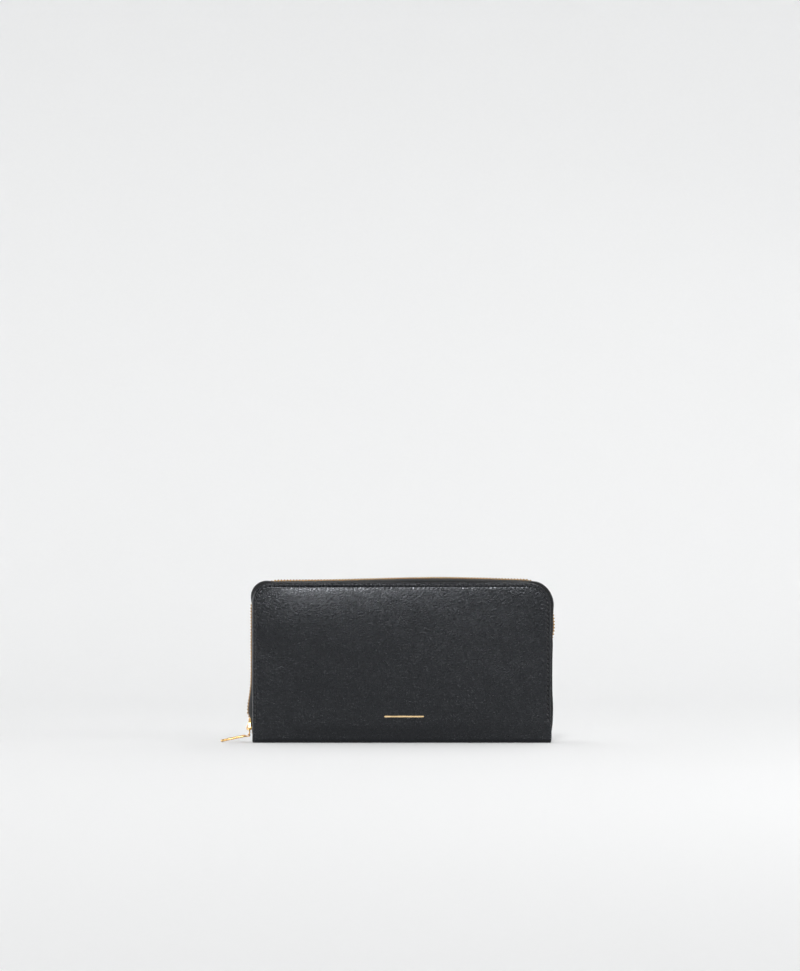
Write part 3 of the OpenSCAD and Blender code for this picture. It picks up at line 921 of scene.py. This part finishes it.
def coin_teeth(half, side):
    """One row of the coin pocket's teeth, up to the slider."""
    pitch = TOOTH_PITCH * COIN_SIZE
    start = coin_teeth_low[0] + 0.35 + (pitch / 2 if side > 0 else 0)
    x = np.arange(start, (coin_slider_low[0] + coin_slider_high[0]) / 2, pitch)
    origins = stacked(x, 0 * x, 0 * x + COIN_Z)
    axes = np.tile(COIN_SIZE * np.eye(3), (len(x), 1, 1))
    points, faces = tooth_template()
    points[:, 1] *= -side
    placed, all_faces = copies(points, faces, origins, axes)
    return make_mesh(half + "_coin_teeth_cast", placed, all_faces, tooth_gold_painted_shade)


def gusset(half, side, end):
    """Pleat between the cover and the coin pocket: cloth folded inwards in a V, deeper towards the mouth.
    Gives the piece, its unfolded width at the widest, its height and its area."""
    low, high = corners("gusset_" + half + ("_right" if end > 0 else "_left"))
    outer = max(abs(low[0]), abs(high[0]))
    inner = min(abs(low[0]), abs(high[0]))
    top = high[2]

    def loop_at(z):
        share = (z - low[2]) / (top - low[2])
        apex = outer - 2.2 - (outer - inner - 2.6) * share
        fold = [(outer - 0.2, LINING_Y - 0.25), (outer - 0.2, 7.3), (apex, 5.0), (outer - 3.2, 3.2)]
        path = rounded_path(fold, 1.0, 6)
        steps = [max(2, int(np.linalg.norm(b - a) / 1.2) + 1) for a, b in zip(path, path[1:])]
        return np.concatenate([path[:1]] + [
            np.linspace(a, b, count)[1:] for a, b, count in zip(path, path[1:], steps)])

    stations = np.linspace(low[2], top, 40)
    count_at_mouth = len(loop_at(top))

    def even(z):
        path = loop_at(z)
        run = run_along(path)
        t = np.linspace(0, run[-1], count_at_mouth)
        path = np.stack([np.interp(t, run, path[:, k]) for k in (0, 1)], -1)
        path[:, 1] += 0.05 * np.sin(z / 2.1 + path[:, 0])
        return thickened(path, 0.42)

    def frame_at(z, loop):
        return stacked(end * loop[:, 0], side * loop[:, 1], np.full(len(loop), z))

    name = half + "_pleat_" + ("right" if end > 0 else "left")
    piece = sweep(name, stations, even, frame_at, pleat_cloth)
    lengths = [run_along(loop_at(z))[-1] for z in stations]
    return piece, max(lengths), top - low[2], float(np.mean(lengths)) * (top - low[2])


FOIL_X = 1.3  # middle of the foil rule
FOIL_Z = 16.7
FOIL_SIZE = (12.6, 0.45)  # half width and half height


def foil_line():
    """Plain hot-stamped foil rule low on the front cover."""
    place = fold_over(-1)
    half_w, half_h = FOIL_SIZE
    xs = np.linspace(-half_w, half_w, 60)
    points, uvs = [], []
    relief = leather_relief(FRONT_SEED)
    for x in xs:
        taper = math.sqrt(max(1 - max(abs(x) - half_w + half_h, 0) ** 2 / half_h ** 2, 0.02))
        for t in (-1, 0, 1):
            spot = np.array([[x + FOIL_X, FOIL_Z + V_OFFSET + t * half_h * taper]])
            lift = relief(spot, np.array([40.0]), np.array([0.0])) + 0.03
            points.append(place(spot[:, 0], spot[:, 1], lift)[0])
            uvs.append(spot[0])
    return make_mesh("front_foil_rule", points, grid_faces(len(xs), 3), foil_gold, uvs, (0, -1, 0))


# ---- Sliders and pulls ----

SLIDER_X = LEFT - 0.6  # middle of the chain at the slider
SLIDER_Z = (slider_low[2] + slider_high[2]) / 2
pins = {joint["name"]: np.array(joint["pos_m"]) / MM for joint in frame["joints"] if "pos_m" in joint}
WIRE_R = 0.4
# Middle line of a crown over the slider's plate, as (towards the nose, out of the chain)
CROWN_LINE = [(-2.6, 1.85), (-1.6, 2.02), (-0.6, 2.2), (0.4, 2.46), (1.2, 2.84), (1.9, 3.2), (2.5, 3.34),
              (3.0, 3.26), (3.4, 3.0), (3.62, 2.6), (3.66, 2.2), (3.64, 1.85)]


def bar(name, line, half_w, half_t, place, square=0.7):
    """A cast bar along a middle line, with a half width (across) and half thickness at each of its points."""
    line = np.asarray(line, float)
    step = unit(np.gradient(line, axis=0))
    wide, thick = squared_ring(16, square)
    rows = []
    for (u, n), (du, dn), w, t in zip(line, step, half_w, half_t):
        rows.append(place(stacked(u - t * thick * dn, w * wide, n + t * thick * du)))
    return tube(name, rows, pull_gold)


def crown(name, place):
    """Low bridge that rises from the slider's tail and closes at its nose."""
    line = rounded_path(CROWN_LINE, 0.4, 4)
    share = np.linspace(0, 1, len(line))
    half_w = 0.95 - 0.25 * np.sin(PI * share)
    half_t = 0.24 + 0.08 * np.sin(PI * share)
    return bar(name, line, half_w, half_t, place)


def on_side(p):
    """From the slider's axes to the closed chain's foot: its nose points down and its crown to the left."""
    return stacked(SLIDER_X - p[:, 2], p[:, 1], SLIDER_Z - p[:, 0])


def wire_link():
    """Closed wire loop from the crown down to the tab's eye."""
    top, foot = pins["link_swings"], pins["pull_swings"]
    down = unit(foot - top)
    across = np.array([0.0, 1.0, 0.0])
    out = np.cross(down, across)
    length = np.linalg.norm(foot - top)
    one_side = [(1.7, 0), (2.05, length / 2), (1.9, length)]
    other_side = [(-y, z) for y, z in reversed(one_side)]
    path = rounded_path([(0, 0)] + one_side + other_side + [(0, 0)], 1.0, 8)[:-1]
    step = unit(np.roll(path, -1, axis=0) - np.roll(path, 1, axis=0))
    turn = np.arange(12) * PI / 6
    rows = []
    for (y, along), (dy, da) in zip(path, step):
        side = da * across - dy * down
        ring = WIRE_R * (np.cos(turn)[:, None] * side + np.sin(turn)[:, None] * out)
        rows.append(top + y * across + along * down + 0.75 * math.sin(PI * along / length) * out + ring)
    n = len(rows)
    faces = grid_faces(n, 12, wrap=True)
    faces += [[(n - 1) * 12 + k, (n - 1) * 12 + (k + 1) % 12, (k + 1) % 12, k] for k in range(12)]
    return make_mesh("pull_wire_link", np.concatenate(rows), faces, pull_gold)


def cast_tab():
    """Tab whose tip rests on the table: a neck rolled round the link's wire, a long body and a round tip."""
    low, high = corners("pull_tab")
    eye = pins["pull_swings"]
    half_w = (high[1] - low[1]) / 2
    neck_w = 1.3
    reach = eye[0] - low[0]
    drop = math.asin((eye[2] - 0.75) / reach)
    turn = np.linspace(0.6, 1.5 * PI, 15)
    roll = 0.7 * stacked(np.cos(turn), np.sin(turn))
    u = np.concatenate([[0.7, 1.5, 2.3, 3.1, 4.0], np.linspace(5, reach - half_w, 8),
                        reach - half_w + half_w * np.sin(np.linspace(0.15, 1, 10) * PI / 2)])
    line = np.concatenate([roll, stacked(u, -0.7 + 0.85 * smooth(u / 3.5))])
    body_w = neck_w + (half_w - neck_w) * smooth((u - 1.2) / 2.2)
    tip = np.sqrt(np.clip(1 - np.maximum((u - reach + half_w) / half_w, 0) ** 2, 0.004, 1))
    body_t = (0.25 + 0.55 * smooth(u / 3.6)) * np.clip(0.55 + 0.6 * tip, 0, 1)
    wide = np.concatenate([np.full(len(roll), neck_w), body_w * tip])
    thick = np.concatenate([np.full(len(roll), 0.25), body_t])

    def place(p):
        return stacked(eye[0] - p[:, 0] * math.cos(drop) - p[:, 2] * math.sin(drop), p[:, 1],
                       eye[2] - p[:, 0] * math.sin(drop) + p[:, 2] * math.cos(drop))

    return bar("pull_tab_cast", line, wide, thick, place, 0.75)


def coin_crown():
    """The same crown on the coin pocket's smaller slider, whose nose points to the right."""
    middle = np.array([(coin_slider_low[0] + coin_slider_high[0]) / 2, 0, COIN_Z])

    def place(p):
        return middle + COIN_SIZE * p

    return crown("coin_slider_bridge", place)


# ---- CAD solids that show: welded, bevelled and given their finish ----


def bevelled(node, width, material):
    """Finish of a CAD solid: its material, and modifiers that weld its points and round its edges."""
    piece = nodes[node]
    piece.data.materials.clear()
    piece.data.materials.append(material)
    weld = piece.modifiers.new("weld", "WELD")
    weld.merge_threshold = 1e-6
    edge = piece.modifiers.new("bevel", "BEVEL")
    edge.width = width * MM
    edge.segments = 3
    edge.limit_method = "ANGLE"
    edge.angle_limit = math.radians(35)
    edge.harden_normals = True


# ---- Assembly ----


def install(piece, slot, body, *stands_for):
    """Hangs a piece on the one body it rides and hides the CAD nodes it stands for; slot is not used."""
    if stands_for:
        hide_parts(*stands_for)
    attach(piece, body)


HALVES = (("front", -1), ("back", 1))  # each half and the side of the middle plane that it lies on

for half, side in HALVES:
    shell, sewing = outer_shell(half, side, FRONT_SEED if side < 0 else BACK_SEED)
    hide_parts(half + "_cover", half + "_padding", *(["spine_leather"] if side < 0 else []))
    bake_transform(shell)
    install(sewing, "outer_leather", half + "_half")

for half, side in HALVES:
    body = half + "_half"
    tape = zip_tape(half, side)
    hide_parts(half + "_zip_tape")
    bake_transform(tape)
    install(zip_teeth(half, side), "zip_metal", body, half + "_zip_teeth")

install(foil_line(), "zip_metal", "front_half")

for half, side in HALVES:
    body = half + "_half"
    lining, lining_sewing = inner_lining(half, side)
    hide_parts(half + "_lining", *(["spine_lining"] if side < 0 else []))
    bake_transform(lining)
    install(lining_sewing, "inner_leather", body)
    install(card_panel(half, side), "inner_leather", body, half + "_card_panel")
    for number in range(1, 5):
        install(card_pocket(half, side, number), "inner_leather", body, f"{half}_card_pocket_{number}")
    install(card_stitches(half, side), "inner_leather", body)

    install(coin_panel(half, side), "inner_leather", "core", "coin_pocket_" + half)
    install(coin_stitches(half, side), "inner_leather", "core")
    install(coin_tape(half, side), "zip_tape", "core", "coin_zip_tape_" + half)
    install(coin_teeth(half, side), "zip_metal", "core", "coin_zip_teeth_" + half)

    for end, end_name in ((-1, "left"), (1, "right")):
        pleat, width, length, area = gusset(half, side, end)
        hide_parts(f"gusset_{half}_{end_name}")
        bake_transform(pleat)

install(coin_floor(), "pleat_fabric", "core", "coin_pocket_bottom")
for end_name, end in (("left", -1), ("right", 1)):
    node = "coin_pocket_side_" + end_name
    install(coin_end("coin_pleat_" + end_name, node, end), "pleat_fabric", "core", node)

END_STOP = zip_end - 8.0  # lengths along the zip
START_STOP = 4.6
install(clip("end_stop_clip", END_STOP, 2.6, -2.3, 2.3), "zip_metal", "back_half", "zip_end_stop")
install(clip("start_stop_clip", START_STOP, 1.6, 0.4, 2.3), "zip_metal", "back_half", "zip_start_stop")
install(crown("zip_slider_bridge", on_side), "pull_metal", "zip_slider", "zip_slider_crown")
install(wire_link(), "pull_metal", "zip_link", "pull_link")
install(cast_tab(), "pull_metal", "zip_pull", "pull_tab")
install(coin_crown(), "pull_metal", "coin_slider", "coin_slider_crown")

bevelled("zip_slider_body", 0.16, pull_gold)
bevelled("coin_slider_body", 0.12, pull_gold)
bevelled("coin_pull_tab", 0.22, pull_gold)
bevelled("coin_zip_stops", 0.1, tooth_gold_painted_shade)
bevelled("front_board", 0.15, board_grey)
bevelled("back_board", 0.15, board_grey)
bevelled("spine_stiffener", 0.15, inked_board)


# ---- Stage, light and camera ----


def stage():
    """Pale floor that curves up into a backdrop, and a little behind the camera too."""
    m = Shader("stage_paper", Roughness=0.9)
    paper = m.noise(m.place(300, uv=False), 1.0, 3.0)
    material = m.finish(m.mix(paper, (0.845, 0.85, 0.853), (0.865, 0.87, 0.873)))
    front, front_round, front_top = -4500, 700, 1050
    back, back_round, wide_and_high = 1200, 900, 5000
    bend = [(front - front_round, front_top)]
    bend += [(front - front_round * math.sin(a), front_round * (1 - math.cos(a)))
             for a in np.linspace(PI / 2, 0, 8)]
    bend += [(y, 0) for y in (-1500, -400, 0, 600)]
    bend += [(back + back_round * math.sin(a), back_round * (1 - math.cos(a)))
             for a in np.linspace(0, PI / 2, 14)]
    bend += [(back + back_round, wide_and_high)]
    points = [(x, y, z) for y, z in bend for x in (-wide_and_high, wide_and_high)]
    floor = make_mesh("stage_floor", points, grid_faces(len(bend), 2), material, facing=(0, -1, 1))


def lamp(name, kind, place, aim, power, **settings):
    """A light at a place, turned towards what it aims at, both in metres."""
    light = bpy.data.lights.new(name, kind)
    light.energy = power
    for key, value in settings.items():
        setattr(light, key, value)
    piece = bpy.data.objects.new(name, light)
    piece.location = place
    piece.rotation_euler = (Vector(aim) - Vector(place)).to_track_quat("-Z", "Y").to_euler()
    bpy.context.scene.collection.objects.link(piece)
    return piece


COVERS_SHARE = 0.375  # the covers' share of the picture's width
PICTURE_SHAPE = 1.21375  # the picture's height over its width
CAMERA_AWAY = 2500.0
CAMERA_X = -1.3
CAMERA_HEIGHT = 80.0
MIDDLE_HEIGHT = 163.0  # what the picture's middle looks at
SENSOR = 36


def camera():
    """A long lens a little above the table, framed as a catalogue picture with room above."""
    high = (cover_high[0] - cover_low[0]) / COVERS_SHARE * PICTURE_SHAPE
    data = bpy.data.cameras.new("camera")
    data.sensor_width = SENSOR
    data.lens = SENSOR * CAMERA_AWAY / high
    data.shift_y = (MIDDLE_HEIGHT - CAMERA_HEIGHT) / high
    data.clip_end = 100
    piece = bpy.data.objects.new("camera", data)
    piece.location = (CAMERA_X * MM, (cover_low[1] - CAMERA_AWAY) * MM, CAMERA_HEIGHT * MM)
    piece.rotation_euler = (PI / 2, 0, 0)
    bpy.context.scene.collection.objects.link(piece)
    bpy.context.scene.camera = piece


FRONT_LIGHT = (-0.072, -0.870, 0.490)
TABLE = (0, 0, 0)
WALLET = (0, 0, 0.05)

stage()
world = bpy.data.worlds.new("studio")
world.use_nodes = True
world.node_tree.nodes["Background"].inputs[0].default_value = (1, 1, 1, 1)
world.node_tree.nodes["Background"].inputs[1].default_value = 0.07
bpy.context.scene.world = world
bpy.context.scene.view_settings.view_transform = "Standard"
lamp("front_softbox", "SUN", FRONT_LIGHT, TABLE, 1.38, angle=math.radians(7))
front_card = lamp("front_card", "SUN", FRONT_LIGHT, TABLE, 1.1, angle=math.radians(7))
overhead = lamp("overhead_softbox", "SUN", (0.05, -0.03, 1.0), TABLE, 1.62, angle=math.radians(75))
lamp("side_fill", "AREA", (1.2, -1.0, 0.4), WALLET, 7, shape="DISK", size=0.7)
left_card = lamp("left_card", "AREA", (-1.6, 0.05, 0.3), WALLET, 34, shape="DISK", size=1.1)
rear_card = lamp("rear_card", "AREA", (0.5, 1.7, 1.1), WALLET, 12, shape="DISK", size=0.9)
overhead.visible_glossy = False
for card in (front_card, left_card, rear_card):
    card.visible_diffuse = False
camera()
